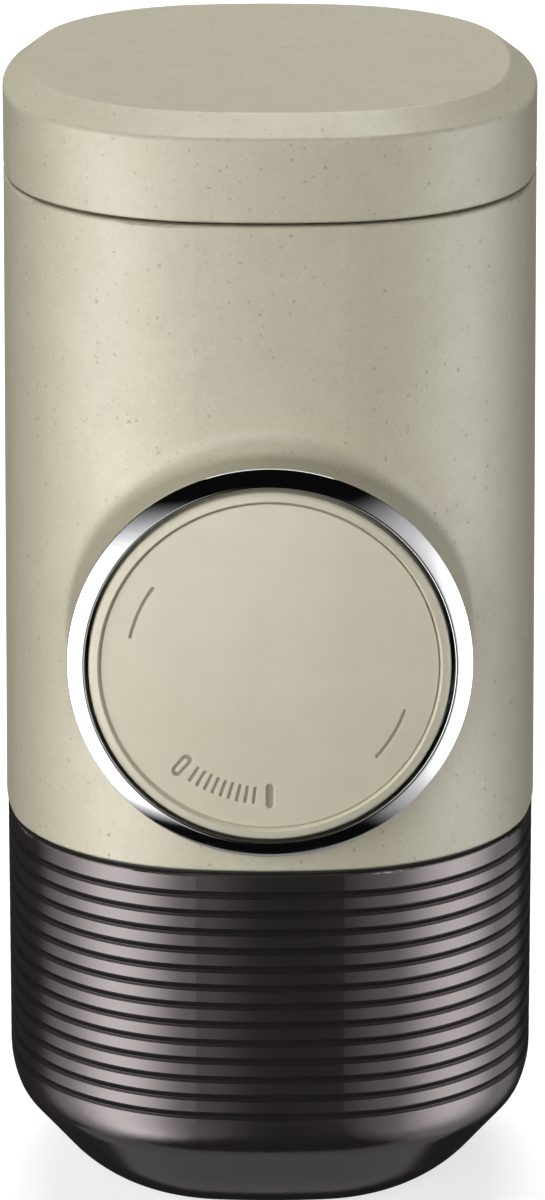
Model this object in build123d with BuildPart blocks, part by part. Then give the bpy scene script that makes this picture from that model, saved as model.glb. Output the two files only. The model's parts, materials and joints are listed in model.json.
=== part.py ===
"""Handheld manual espresso maker: a pocket pump that stands on its own ribbed cup.

Frame: millimetres, +Z up, origin at the centre of the cup's flat base. The pump's button faces -Y.
From the bottom up: cup, outlet head with the capsule cage, pump body, water tank, lid.
"""

from build123d import *

import os
from math import atan2, cos, degrees, hypot, radians, sin, sqrt, tan

os.makedirs("parts", exist_ok=True)

# Clearances shared by every piece
running_gap = 0.05  # radial, between a shaft and its bush
loose_gap = 0.3  # between pieces that move past each other
seat_gap = 0.05  # between pieces pressed or dropped into each other
pick_margin = 0.01  # when edges are picked by their level

# Outline of the whole machine, seen from above: eight tangent arcs
side_room = 6.3  # from the group head's flange to the body's side, at the body's lower edge
body_half_depth = 30.2
corner_radius = 22.9
side_crown = 0.63  # how far each side arc bulges past its corners
front_crown = 0.31
draft_angle = 0.33  # degrees, each side of the body

# Cup
cup_inset = 0.15  # the cup is this much smaller than the body all round
cup_wall = 1.9
cup_floor = 2.6
cup_taper_height = 12.0
cup_taper_inset = 10.4
cup_base_fillet = 17.0
cup_shoulder_fillet = 6.0
cup_rim_fillet = 0.3
rib_count = 13
rib_pitch = 2.04
rib_drop = 2.6  # from the cup's rim to the bottom of the first groove
rib_groove_floor = 0.05
rib_groove_depth = 0.4
rib_upper_slope = 30.0  # degrees from upright, the long flank over each groove
rib_lower_slope = 76.0  # the short flank under it

# Pump body shell
seam_gap = 0.4  # shadow gap between cup and body
body_height = 68.5
body_wall = 2.0
body_edge_fillet = 0.35
liner_ledge_depth = 2.6  # below the body's top edge, where the tank liner's flange rests
liner_ledge_width = 0.9

# Round boss on the front, with the bezel ring and the button in it
boss_rise = 0.45  # from the collar's deck to the boss's lowest point
boss_radius = 20.65
boss_wall = 1.8
boss_blend = 2.4  # fillet between the boss and the body
boss_reach = 36.2  # from the machine's centre to the bezel's outer edge
boss_back = 20.0  # from the machine's centre to the boss tube's ledge
ledge_thickness = 2.0
ledge_bore = 16.2
bezel_rise = 0.9
bezel_edge = 0.25
bezel_spigot_length = 2.0
bezel_spigot_wall = 0.8

# Button: piston head and its face plate
button_gap = 0.42
button_proud = 1.2  # beyond the bezel's outer edge
button_lip = 1.25
button_edge_fillet = 0.35
button_web = 2.4
button_skirt_wall = 1.6
button_end_gap = 1.0  # from the pressed button to the boss tube's ledge
face_recess = 0.3
lip_bevel = 0.6  # width of the slope from the lip down to the face
face_thickness = 1.2
hub_radius = 5.6
hub_length = 9.0
mark_radius = 13.8
mark_length = 1.8
mark_width = 0.3
mark_depth = 0.2
lock_turn = 40.5  # degrees from locked to unlocked
tick_count = 9
tick_margin = 6.5  # degrees from a lock mark to the next tick
slot_width = 0.8
locked_angle = -90.0  # seen from the front, from +X
arc_radius = 14.5
arc_angles = (156.0, -30.0)
arc_span = 23.5

# Pump
stroke = 14.0
bore_radius = 6.0
barrel_wall = 2.2
chamber_end = 11.0  # from the machine's centre back to the chamber's closed end
barrel_end_wall = 2.0
piston_length = 6.0
piston_gap = 0.2
piston_end_gap = 1.5
piston_seal_length = 2.4
piston_seal_depth = 1.6
rod_radius = 4.0
bush_radius = 7.2
pump_flange_radius = 20.0
pump_flange_thickness = 2.4
collar_radius = 14.0
collar_wall = 1.4
collar_length = 10.0
stop_rib_height = 1.5
stop_rib_angle = 14.0  # degrees
stop_gap_angle = 1.0
hook_places = (0.0, 180.0)  # degrees, with the button locked
hook_angle = 20.0
hook_depth = 2.3
hook_length = 2.0
spring_radius = 9.0
spring_wire = 0.5
spring_turns = 4

# Check valves
valve_y = 15.5
tower_radius = 6.4
spigot_radius = 5.0
spigot_height = 4.5  # above the tank's underside
passage_radius = 1.6
cage_radius = 3.4
inlet_spring_rise = 2.6  # from the pump's axis up to the inlet spring's seat
outlet_seat_drop = 4.9  # from the pump's axis down to the outlet ball's seat
ball_radius = 2.3
ball_gap = 0.02
valve_seat_height = 2.0
valve_spring_radius = 2.0
valve_wire = 0.25
valve_turns = 3
filter_wall = 0.8
filter_height = 3.0
filter_hole = 0.6
filter_hole_count = 6

# Water tank liner
tank_wall = 1.5
tank_rise = 1.9  # from the barrel to the tank's underside
tank_seal_thickness = 1.0
liner_gap = 0.3
neck_radius = 23.0
neck_wall = 1.6
neck_height = 6.0

# Lid
lid_gap = 0.3
lid_height = 10.8
lid_chamfer_width = 2.9
lid_chamfer_height = 2.2
lid_edge_fillet = 0.6
lid_wall = 1.9
lid_ceiling = 2.0
lid_gasket_thickness = 1.2
lid_gasket_width = 2.2
insert_ceiling = 1.2
vent_stem_radius = 1.0
vent_head_radius = 3.0
vent_head_height = 0.8

# Threads of the lid and of the outlet head: short lugs in steep grooves
thread_lead = 12.0  # mm per turn
lug_depth = 0.9
lug_height = 1.1
lug_angle = 12.0  # degrees
thread_gap = 0.25
groove_overrun_angle = 2.0  # degrees that a groove goes on past a lug's end
lid_starts = 4
lid_lug_rise = 4.1  # above the tank's top
head_starts = 3
head_lug_rise = 2.2  # above the group head's skirt edge

# Capsule, outlet head and cage
capsule_flange_radius = 18.5
capsule_radius = 15.0
capsule_height = 28.5
capsule_gap = 0.2
spout_room = 3.2  # from the cup's floor to the spout's tip
head_floor_thickness = 1.6
head_wall = 1.5
mouth_wall = 2.5
mouth_length = 6.4
head_top_gap = 1.3  # below the cup's rim
spout_radius = 4.6
spout_bore = 1.8
spout_drop = 3.2
spout_flange = 1.2
plate_thickness = 1.0
tooth_pitch = 4.0
tooth_rows = 3  # each side of the middle
tooth_size = 1.6
tooth_height = 0.7
tooth_taper = 35.0
drain_radius = 0.5
cage_wall = 1.2
cage_rim_height = 1.3
cage_lift_gap = 0.5
key_width = 3.0
key_depth = 0.6
key_angles = (90.0, 270.0)

# Group head
skirt_radius = 18.5
skirt_wall = 1.4
skirt_overlap = 3.0  # how far the skirt reaches down over the capsule cage
group_roof = 1.0  # from the plenum to the collar's deck
group_hub_radius = 13.0
group_hub_height = 3.4  # above the deck's underside
group_post_radius = 7.4
group_post_height = 5.4
group_flange_radius = 22.0
group_flange_thickness = 1.3
plenum_height = 1.0
channel_radius = 1.3
channel_rise = 1.6  # above the deck's underside
channel_plug_length = 2.4
needle_plate_thickness = 1.2
needle_count = 3
needle_circle = 8.0
needle_length = 3.2
needle_radius = 1.1
needle_taper = 16.0
gasket_thickness = 1.2

# Lower collar, which closes the body and plugs into the cup
deck_rise = 1.5  # from the cup's rim to the deck's underside
deck_thickness = 2.2
collar_skirt_length = 3.6
collar_skirt_wall = 1.5
collar_flange_inset = 0.8
cup_seal_height = 1.4
cup_seal_depth = 0.8
cup_seal_drop = 2.5

# Screws
screw_radius = 1.0
screw_head_radius = 1.7
screw_head_height = 1.2
screw_length = 6.0
screw_boss_radius = 2.8
screw_boss_height = 9.0
body_screw_gap = 0.9  # from the group head's flange to the screw heads
body_screw_angle = 33.0  # degrees, from the machine's side
group_screw_circle = 20.3
group_screw_count = 4
group_screw_angle = 45.0
group_screw_length = 3.0
pump_screw_circle = 18.2
pump_screw_length = 4.2
pump_screw_angle = 25.0

# Outline of the whole machine and its screws, built round the group head's flange
body_half_width = group_flange_radius + side_room
body_screw_circle = group_flange_radius + body_screw_gap + screw_head_radius
body_screw_x = body_screw_circle * cos(radians(body_screw_angle))
body_screw_y = body_screw_circle * sin(radians(body_screw_angle))
body_screws = [(x, y) for x in (-body_screw_x, body_screw_x) for y in (-body_screw_y, body_screw_y)]

# Levels that follow, from the cup's floor up to the lid
head_floor = cup_floor + spout_room + spout_drop
plate_top = head_floor + head_floor_thickness + plate_thickness
needle_plate_bottom = plate_top + capsule_height + loose_gap
needle_plate_top = needle_plate_bottom + needle_plate_thickness
plenum_top = needle_plate_top + plenum_height
cage_bottom = plate_top + cage_lift_gap
cage_top = needle_plate_bottom - gasket_thickness
skirt_bottom = cage_top - skirt_overlap
head_lug_level = skirt_bottom + head_lug_rise
deck_bottom = plenum_top + group_roof
deck_top = deck_bottom + deck_thickness
group_hub_top = deck_bottom + group_hub_height
group_post_top = deck_bottom + group_post_height
channel_height = deck_bottom + channel_rise
cup_height = deck_bottom - deck_rise
head_top = cup_height - head_top_gap
body_bottom = cup_height + seam_gap
body_top = body_bottom + body_height
pump_height = deck_top + boss_rise + boss_radius
tank_floor = pump_height + bore_radius + barrel_wall + tank_rise
spigot_top = tank_floor + spigot_height
inlet_seat_top = spigot_top - tank_seal_thickness / 2
inlet_seat_bottom = inlet_seat_top - valve_seat_height
inlet_spring_seat = pump_height + inlet_spring_rise
outlet_seat_level = pump_height - outlet_seat_drop
ball_drop = sqrt(ball_radius**2 - passage_radius**2) + ball_gap
inlet_ball_level = inlet_seat_bottom - ball_drop
outlet_ball_level = outlet_seat_level - ball_drop
liner_seat = body_top - liner_ledge_depth
liner_top = liner_seat + tank_wall
lid_lug_level = liner_top + lid_lug_rise
neck_top = liner_top + neck_height
insert_ceiling_level = neck_top + lid_gasket_thickness
lid_bottom = body_top + lid_gap
lid_top = lid_bottom + lid_height

# Places and radii that follow
body_top_inset = body_height * tan(radians(draft_angle))
collar_inset = cup_inset + cup_wall + loose_gap
liner_inset = body_top_inset + body_wall + liner_gap
tube_radius = boss_radius - boss_wall
bezel_back = -boss_reach + bezel_edge
button_radius = tube_radius - button_gap
button_front = -boss_reach - button_proud
button_back = -boss_back - button_end_gap
face_front = button_front + face_recess
face_back = face_front + face_thickness
web_back = face_back + button_web
flange_front = ledge_thickness - boss_back
flange_back = flange_front + pump_flange_thickness
piston_end = chamber_end - piston_end_gap
piston_front = piston_end - piston_length
bush_end = piston_front - stroke - loose_gap
spring_reach = sqrt((ball_radius + valve_wire) ** 2 - valve_spring_radius**2) + ball_gap
head_bore = capsule_flange_radius + loose_gap
cage_bore = capsule_radius + capsule_gap
groove_height = lug_height + thread_lead * lug_angle / 360 + 2 * thread_gap
groove_overrun = thread_lead * (lug_angle / 2 + groove_overrun_angle) / 360
groove_depth = lug_depth + thread_gap - loose_gap
pump_screw_x = pump_screw_circle * cos(radians(pump_screw_angle))
pump_screw_z = pump_screw_circle * sin(radians(pump_screw_angle))
pump_screws = [(x, z) for x in (-pump_screw_x, pump_screw_x) for z in (-pump_screw_z, pump_screw_z)]


def around(radius, count, first_angle=0.0):
    """Give places evenly spaced on a circle, from a first angle in degrees."""
    angles = [radians(first_angle + 360 * step / count) for step in range(count)]
    return [(radius * cos(angle), radius * sin(angle)) for angle in angles]


def save(piece, name):
    """Label a finished piece with its node's name and write its STEP file."""
    piece.part.label = name
    export_step(piece.part, f"parts/{name}.step")


def outline(inset):
    """Add the machine's outline, drawn in by inset, to the open line."""
    half_width = body_half_width - inset
    half_depth = body_half_depth - inset
    radius = corner_radius - inset
    centre_x = half_width - radius - side_crown
    centre_y = half_depth - radius - front_crown
    front_radius = radius + (front_crown**2 + centre_x**2) / (2 * front_crown)
    side_radius = radius + (side_crown**2 + centre_y**2) / (2 * side_crown)
    front_span = degrees(atan2(centre_x, centre_y - half_depth + front_radius))
    side_span = degrees(atan2(centre_y, centre_x - half_width + side_radius))
    corner_span = 90 - front_span - side_span
    for side in (1, -1):
        turn = 90 - 90 * side
        side_centre = (side * (half_width - side_radius), 0)
        front_centre = (0, side * (half_depth - front_radius))
        CenterArc(side_centre, side_radius, turn - side_span, 2 * side_span)
        CenterArc(front_centre, front_radius, turn + 90 - front_span, 2 * front_span)
        CenterArc((side * centre_x, side * centre_y), radius, turn + side_span, corner_span)
        CenterArc((-side * centre_x, side * centre_y), radius, turn + 90 + front_span, corner_span)


def slab(level, height, inset, taper=0.0, mode=Mode.ADD):
    """Extrude the machine's outline upwards (or down, if height is negative) into the open part."""
    with BuildSketch(Plane.XY.offset(level)) as section:
        with BuildLine():
            outline(inset)
        make_face()
    extrude(section.sketch, amount=height, taper=taper, mode=mode)


def post(bottom, top, radius, places=((0, 0),), mode=Mode.ADD):
    """Extrude upright round rods between two levels, into the open part."""
    with BuildSketch(Plane.XY.offset(bottom)) as section:
        with Locations(*places):
            Circle(radius)
    extrude(section.sketch, amount=top - bottom, mode=mode)


def front_plane(y):
    """Give the upright plane at y, centred on the pump's axis and seen from the front."""
    return Plane((0, y, pump_height), x_dir=(1, 0, 0), z_dir=(0, -1, 0))


def rod(start, end, radius, places=((0, 0),), mode=Mode.ADD):
    """Extrude round rods along the pump's axis from y = start to y = end, into the open part."""
    with BuildSketch(front_plane(start)) as section:
        with Locations(*places):
            Circle(radius)
    extrude(section.sketch, amount=start - end, mode=mode)


def sector(plane, inner, outer, middle_angle, span, height, mode=Mode.ADD):
    """Extrude a piece of a ring from a plane, into the open part."""
    with BuildSketch(plane) as section:
        with BuildLine():
            wide = CenterArc((0, 0), outer, middle_angle - span / 2, span)
            narrow = CenterArc((0, 0), inner, middle_angle - span / 2, span)
            Line(wide @ 0, narrow @ 0)
            Line(wide @ 1, narrow @ 1)
        make_face()
    extrude(section.sketch, amount=height, mode=mode)


def coil(centre, direction, radius, wire, length, turns):
    """Make a spring wire wound from a centre along a direction, as a part of its own."""
    with BuildPart() as spring:
        with BuildLine():
            wound = Helix(length / turns, length, radius, center=centre, direction=direction)
        with BuildSketch(Plane(wound @ 0, z_dir=wound % 0)):
            Circle(wire)
        sweep(path=wound, is_frenet=True)
    return spring


def lugs(radius, level, starts):
    """Add the short thread lugs that stand out from a round skirt, to the open part."""
    for start in range(starts):
        plane = Plane.XY.offset(level - lug_height / 2)
        sector(plane, radius - lug_depth, radius + lug_depth, 360 * start / starts, lug_angle, lug_height)


def thread_grooves(radius, level, bottom, top, starts):
    """Cut the steep right-handed grooves that the lugs at a level run in, from the open part."""
    first_angle = -(level - bottom) * 360 / thread_lead
    for start in range(starts):
        with BuildLine() as path:
            Helix(thread_lead, top - bottom, radius, center=(0, 0, bottom))
        wound = path.line.rotate(Axis.Z, first_angle + 360 * start / starts)
        outward = Vector((wound @ 0).X, (wound @ 0).Y, 0)
        with BuildSketch(Plane(wound @ 0, x_dir=outward, z_dir=wound % 0)) as section:
            Rectangle(2 * groove_depth, groove_height)
        sweep(section.sketch, path=wound, is_frenet=True, mode=Mode.SUBTRACT)


def cup_form(inset, floor):
    """Make the cup's solid form, drawn in by inset and standing on floor, as a part of its own."""
    taper = degrees(atan2(cup_taper_inset, cup_taper_height))
    with BuildPart() as form:
        slab(cup_taper_height, cup_height - cup_taper_height, cup_inset + inset)
        slab(cup_taper_height, floor - cup_taper_height, cup_inset + inset, taper)
        fillet(form.edges().group_by(Axis.Z)[0], cup_base_fillet - inset)
        near_shoulder = (cup_taper_height - pick_margin, cup_taper_height + pick_margin)
        fillet(form.edges().filter_by_position(Axis.Z, *near_shoulder), cup_shoulder_fillet - inset)
    return form


# Cup: ribbed wall, tapered foot, flat base
rib_core_inset = cup_inset + rib_groove_depth
rib_upper_flank = rib_core_inset / tan(radians(rib_upper_slope))
rib_lower_flank = rib_core_inset / tan(radians(rib_lower_slope))
with BuildPart() as rib_core:
    slab(0, rib_groove_floor, rib_core_inset)
    slab(rib_groove_floor, rib_upper_flank, rib_core_inset, -rib_upper_slope)
    slab(0, -rib_lower_flank, rib_core_inset, -rib_lower_slope)
with BuildPart() as rib_groove:
    slab(-rib_lower_flank, rib_lower_flank + rib_groove_floor + rib_upper_flank, -rib_groove_depth)
    add(rib_core.part, mode=Mode.SUBTRACT)
cup_outside = cup_form(0, 0)
cup_hollow = cup_form(cup_wall, cup_floor)
with BuildPart() as cup:
    add(cup_outside.part)
    fillet(cup.edges().group_by(Axis.Z)[-1], cup_rim_fillet)
    add(cup_hollow.part, mode=Mode.SUBTRACT)
    for rib in range(rib_count):
        level = cup_height - rib_drop - rib * rib_pitch
        add(rib_groove.part.moved(Location((0, 0, level))), mode=Mode.SUBTRACT)
save(cup, "cup")

# Outlet head: round pot under the group, with the mouth's thread grooves and the cage's key slots
with BuildPart() as outlet_head:
    post(head_floor, head_top, head_bore + head_wall)
    post(head_top - mouth_length, head_top, head_bore + mouth_wall)
    fillet(outlet_head.edges().group_by(Axis.Z)[0], head_wall)
    post(head_floor + head_floor_thickness, head_top, head_bore, mode=Mode.SUBTRACT)
    post(head_floor, plate_top, spout_radius - spout_flange, mode=Mode.SUBTRACT)
    for key_angle in key_angles:
        key_plane = Plane.XY.rotated((0, 0, key_angle)).offset(cage_bottom - loose_gap)
        with BuildSketch(key_plane) as key_slot:
            with Locations((head_bore, 0)):
                Rectangle(2 * key_depth, key_width + 2 * loose_gap)
        extrude(key_slot.sketch, amount=head_top - cage_bottom + loose_gap, mode=Mode.SUBTRACT)
    groove_bottom = head_lug_level - groove_overrun
    thread_grooves(head_bore, head_lug_level, groove_bottom, head_top + groove_height, head_starts)
save(outlet_head, "outlet_head")

# Spout: a nozzle pressed into the outlet head's floor from inside
with BuildPart() as spout:
    post(head_floor - spout_drop, head_floor + head_floor_thickness, spout_radius - spout_flange - seat_gap)
    post(head_floor - spout_drop, head_floor, spout_radius)
    post(head_floor - spout_drop, head_floor + head_floor_thickness, spout_bore, mode=Mode.SUBTRACT)
    chamfer(spout.faces().sort_by(Axis.Z)[0].outer_wire().edges(), spout_flange)
save(spout, "spout")

# Base plate: toothed and pierced, it opens the capsule's foil and drains the coffee
tooth_steps = range(-tooth_rows, tooth_rows + 1)
teeth = [(x * tooth_pitch, y * tooth_pitch) for x in tooth_steps for y in tooth_steps]
teeth = [place for place in teeth if hypot(*place) < capsule_radius - tooth_size]
drains = [(x + tooth_pitch / 2, y + tooth_pitch / 2) for x, y in teeth]
with BuildPart() as base_plate:
    post(plate_top - plate_thickness, plate_top, capsule_flange_radius)
    with BuildSketch(Plane.XY.offset(plate_top)) as tooth_bases:
        with Locations(*teeth):
            Rectangle(tooth_size, tooth_size)
    extrude(tooth_bases.sketch, amount=tooth_height, taper=tooth_taper)
    post(plate_top - plate_thickness, plate_top, drain_radius, drains, mode=Mode.SUBTRACT)
save(base_plate, "base_plate")

# Capsule cage: holds the capsule upright and presses its flange on the base plate
with BuildPart() as capsule_cage:
    post(cage_bottom, cage_top, cage_bore + cage_wall)
    post(cage_bottom, cage_bottom + cage_rim_height, capsule_flange_radius)
    for key_angle in key_angles:
        key_plane = Plane.XY.rotated((0, 0, key_angle)).offset(cage_bottom)
        with BuildSketch(key_plane) as key:
            with Locations((capsule_flange_radius, 0)):
                Rectangle(2 * key_depth, key_width)
        extrude(key.sketch, amount=cage_rim_height)
    post(cage_bottom, cage_top, cage_bore, mode=Mode.SUBTRACT)
save(capsule_cage, "capsule_cage")

# Group head: feeds the water from the outlet valve to the capsule, and carries the outlet head's thread
post_place = ((0, valve_y),)
group_screws = around(group_screw_circle, group_screw_count, group_screw_angle)
with BuildPart() as group_head:
    post(deck_bottom - group_flange_thickness, deck_bottom, group_flange_radius)
    post(deck_bottom, group_hub_top, group_hub_radius)
    post(deck_bottom, group_post_top, group_post_radius, post_place)
    post(skirt_bottom, deck_bottom, skirt_radius)
    lugs(skirt_radius, head_lug_level, head_starts)
    post(skirt_bottom, needle_plate_top, skirt_radius - skirt_wall, mode=Mode.SUBTRACT)
    post(needle_plate_top, plenum_top, group_hub_radius, mode=Mode.SUBTRACT)
    post(plenum_top, channel_height, passage_radius, mode=Mode.SUBTRACT)
    post(channel_height, group_post_top, passage_radius, post_place, mode=Mode.SUBTRACT)
    with BuildSketch(front_plane(0)) as channel:
        with Locations((0, channel_height - pump_height)):
            Circle(channel_radius)
    extrude(channel.sketch, amount=-valve_y - group_post_radius, mode=Mode.SUBTRACT)
    group_flange_bottom = deck_bottom - group_flange_thickness
    post(group_flange_bottom, deck_bottom, screw_radius + running_gap, group_screws, mode=Mode.SUBTRACT)
save(group_head, "group_head")

# Plug that shuts the drilled end of the group head's channel
with BuildPart() as channel_plug:
    plug_back = valve_y + sqrt(group_post_radius**2 - channel_radius**2)
    with BuildSketch(front_plane(plug_back)):
        with Locations((0, channel_height - pump_height)):
            Circle(channel_radius)
    extrude(amount=channel_plug_length)
save(channel_plug, "channel_plug")

# Needle plate: pierces the capsule's dome and lets the water in
with BuildPart() as needle_plate:
    post(needle_plate_bottom, needle_plate_top, skirt_radius - skirt_wall - seat_gap)
    with BuildSketch(Plane.XY.offset(needle_plate_bottom)) as needles:
        with Locations(*around(needle_circle, needle_count)):
            Circle(needle_radius)
    extrude(needles.sketch, amount=-needle_length, taper=needle_taper)
    water_holes = around(needle_circle, needle_count, 180 / needle_count)
    post(needle_plate_bottom, needle_plate_top, needle_radius, water_holes, mode=Mode.SUBTRACT)
save(needle_plate, "needle_plate")

# Group gasket: seals the cage to the needle plate
with BuildPart() as group_gasket:
    post(cage_top, needle_plate_bottom, skirt_radius - skirt_wall - seat_gap)
    post(cage_top, needle_plate_bottom, cage_bore, mode=Mode.SUBTRACT)
save(group_gasket, "group_gasket")

# Lower collar: closes the body and plugs into the cup
with BuildPart() as lower_collar:
    slab(cup_height - collar_skirt_length, deck_top - cup_height + collar_skirt_length, collar_inset)
    slab(cup_height, seam_gap, collar_flange_inset)
    slab(
        cup_height - collar_skirt_length,
        deck_bottom - cup_height + collar_skirt_length,
        collar_inset + collar_skirt_wall,
        mode=Mode.SUBTRACT,
    )
    post(deck_bottom, deck_top, group_hub_radius + loose_gap, mode=Mode.SUBTRACT)
    post(deck_bottom, deck_top, group_post_radius + loose_gap, post_place, mode=Mode.SUBTRACT)
    with BuildSketch(Plane.XY.offset(cup_height - cup_seal_drop)) as seal_groove:
        with BuildLine():
            outline(collar_inset - loose_gap)
        make_face()
        with BuildLine():
            outline(collar_inset + cup_seal_depth)
        make_face(mode=Mode.SUBTRACT)
    extrude(seal_groove.sketch, amount=cup_seal_height, mode=Mode.SUBTRACT)
    post(deck_bottom, deck_top, screw_radius + running_gap, body_screws, mode=Mode.SUBTRACT)
    post(deck_bottom, deck_top, screw_radius, group_screws, mode=Mode.SUBTRACT)
save(lower_collar, "lower_collar")

# Cup seal: rubber ring that grips the cup's mouth
with BuildPart() as cup_seal:
    slab(cup_height - cup_seal_drop, cup_seal_height, cup_inset + cup_wall + seat_gap)
    slab(
        cup_height - cup_seal_drop,
        cup_seal_height,
        collar_inset + cup_seal_depth - seat_gap,
        mode=Mode.SUBTRACT,
    )
save(cup_seal, "cup_seal")

# Screw bosses inside the body, each with a rib to the wall
with BuildPart() as screw_bosses:
    post(deck_top, deck_top + screw_boss_height, screw_boss_radius, body_screws)
    with BuildSketch(Plane.XY.offset(deck_top)) as boss_ribs:
        with Locations((0, body_screw_y), (0, -body_screw_y)):
            Rectangle(2 * body_half_width, screw_boss_radius)
            Rectangle(2 * body_screw_x, screw_boss_radius, mode=Mode.SUBTRACT)
    extrude(boss_ribs.sketch, amount=screw_boss_height)
    slab(deck_top, screw_boss_height, body_top_inset + body_wall / 2, mode=Mode.INTERSECT)
    post(deck_top, deck_top + screw_length, screw_radius, body_screws, mode=Mode.SUBTRACT)

# Body shell: drafted tube with the boss on its front
with BuildPart() as body_shell:
    slab(body_bottom, body_height, 0, draft_angle)
    body_rims = body_shell.edges().group_by(Axis.Z)[0] + body_shell.edges().group_by(Axis.Z)[-1]
    fillet(body_rims, body_edge_fillet)
    rod(-boss_back, bezel_back, boss_radius)
    fillet(body_shell.edges(Select.NEW), boss_blend)
    slab(body_bottom, body_height, body_wall, draft_angle, mode=Mode.SUBTRACT)
    ledge_inset = body_top_inset + body_wall - liner_ledge_width
    slab(liner_seat, liner_ledge_depth, ledge_inset, mode=Mode.SUBTRACT)
    rod(flange_front, bezel_back, boss_radius)
    rod(-boss_back, bezel_back, tube_radius, mode=Mode.SUBTRACT)
    rod(flange_front, -boss_back, ledge_bore, mode=Mode.SUBTRACT)
    bezel_socket_radius = boss_radius - bezel_spigot_wall + seat_gap
    rod(bezel_back + bezel_spigot_length + seat_gap, bezel_back, bezel_socket_radius, mode=Mode.SUBTRACT)
    add(screw_bosses.part)
    rod(-boss_back, flange_front, screw_radius, pump_screws, mode=Mode.SUBTRACT)
save(body_shell, "body_shell")

# Bezel ring: bevelled chrome ring with a spigot that plugs into the boss
with BuildPart() as bezel_ring:
    with BuildSketch(Plane.XY.offset(pump_height)):
        with BuildLine():
            Polyline(
                (tube_radius, -boss_reach - bezel_rise),
                (tube_radius + bezel_edge, -boss_reach - bezel_rise),
                (boss_radius, -boss_reach),
                (boss_radius, bezel_back),
                (boss_radius - bezel_spigot_wall, bezel_back),
                (boss_radius - bezel_spigot_wall, bezel_back + bezel_spigot_length),
                (tube_radius, bezel_back + bezel_spigot_length),
                close=True,
            )
        make_face()
    revolve(axis=Axis((0, 0, pump_height), (0, 1, 0)))
save(bezel_ring, "bezel_ring")

# Pump block: barrel, valve tower, fixing flange and the collar with the lock's stop ribs
with BuildPart() as pump_block:
    rod(flange_front, chamber_end + barrel_end_wall, bore_radius + barrel_wall)
    rod(flange_front, flange_back, pump_flange_radius)
    post(group_post_top + gasket_thickness, tank_floor - tank_seal_thickness, tower_radius, post_place)
    post(tank_floor - tank_seal_thickness, spigot_top, spigot_radius, post_place)
    rod(flange_front - collar_length, flange_front, collar_radius)
    for side_angle in hook_places:
        reach = (hook_angle + stop_rib_angle) / 2 + stop_gap_angle
        for rib_angle in (side_angle - reach, side_angle + lock_turn + reach):
            sector(
                front_plane(flange_front),
                collar_radius - collar_wall,
                collar_radius + stop_rib_height,
                rib_angle,
                stop_rib_angle,
                collar_length,
            )
    rod(flange_front - collar_length, flange_front, collar_radius - collar_wall, mode=Mode.SUBTRACT)
    rod(flange_front, chamber_end, bore_radius, mode=Mode.SUBTRACT)
    rod(flange_front, bush_end, bush_radius, mode=Mode.SUBTRACT)
    rod(chamber_end, valve_y, passage_radius, mode=Mode.SUBTRACT)
    post(pump_height, spigot_top, passage_radius, post_place, mode=Mode.SUBTRACT)
    post(inlet_spring_seat, spigot_top, cage_radius, post_place, mode=Mode.SUBTRACT)
    post(group_post_top, pump_height, passage_radius, post_place, mode=Mode.SUBTRACT)
    post(group_post_top, outlet_seat_level, cage_radius, post_place, mode=Mode.SUBTRACT)
    rod(flange_front, flange_back, screw_radius + running_gap, pump_screws, mode=Mode.SUBTRACT)
save(pump_block, "pump_block")

# Outlet seal: flat gasket between the valve tower and the group head
with BuildPart() as outlet_seal:
    post(group_post_top, group_post_top + gasket_thickness, tower_radius, post_place)
    post(group_post_top, group_post_top + gasket_thickness, cage_radius, post_place, mode=Mode.SUBTRACT)
save(outlet_seal, "outlet_seal")

# Tank seal: ring under the tank liner, round the valve tower's spigot
with BuildPart() as tank_seal:
    tank_seal_bottom = tank_floor - tank_seal_thickness
    post(tank_seal_bottom, tank_floor, tower_radius, post_place)
    post(tank_seal_bottom, tank_floor, spigot_radius + seat_gap, post_place, mode=Mode.SUBTRACT)
save(tank_seal, "tank_seal")

# Guide bush: carries the piston rod and stops the piston at the end of its stroke
with BuildPart() as guide_bush:
    rod(flange_front, bush_end - seat_gap, bush_radius - seat_gap)
    rod(flange_front, bush_end - seat_gap, rod_radius + running_gap, mode=Mode.SUBTRACT)
save(guide_bush, "guide_bush")

# Piston rod with the piston, which has a groove for its seal
piston_seal_front = (piston_front + piston_end - piston_seal_length) / 2
piston_seal_back = piston_seal_front + piston_seal_length
piston_radius = bore_radius - piston_gap
piston_core = piston_radius - piston_seal_depth
head_screw_front = face_back + seat_gap
with BuildPart() as piston_rod:
    rod(web_back + seat_gap, piston_end, rod_radius)
    rod(piston_front, piston_seal_front, piston_radius)
    rod(piston_seal_front, piston_seal_back, piston_core)
    rod(piston_seal_back, piston_end, piston_radius)
    rod(web_back, head_screw_front + screw_length + screw_head_height, screw_radius, mode=Mode.SUBTRACT)
save(piston_rod, "piston_rod")

# Piston seal
with BuildPart() as piston_seal:
    rod(piston_seal_front, piston_seal_back, bore_radius - running_gap)
    rod(piston_seal_front, piston_seal_back, piston_core, mode=Mode.SUBTRACT)
save(piston_seal, "piston_seal")

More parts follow.
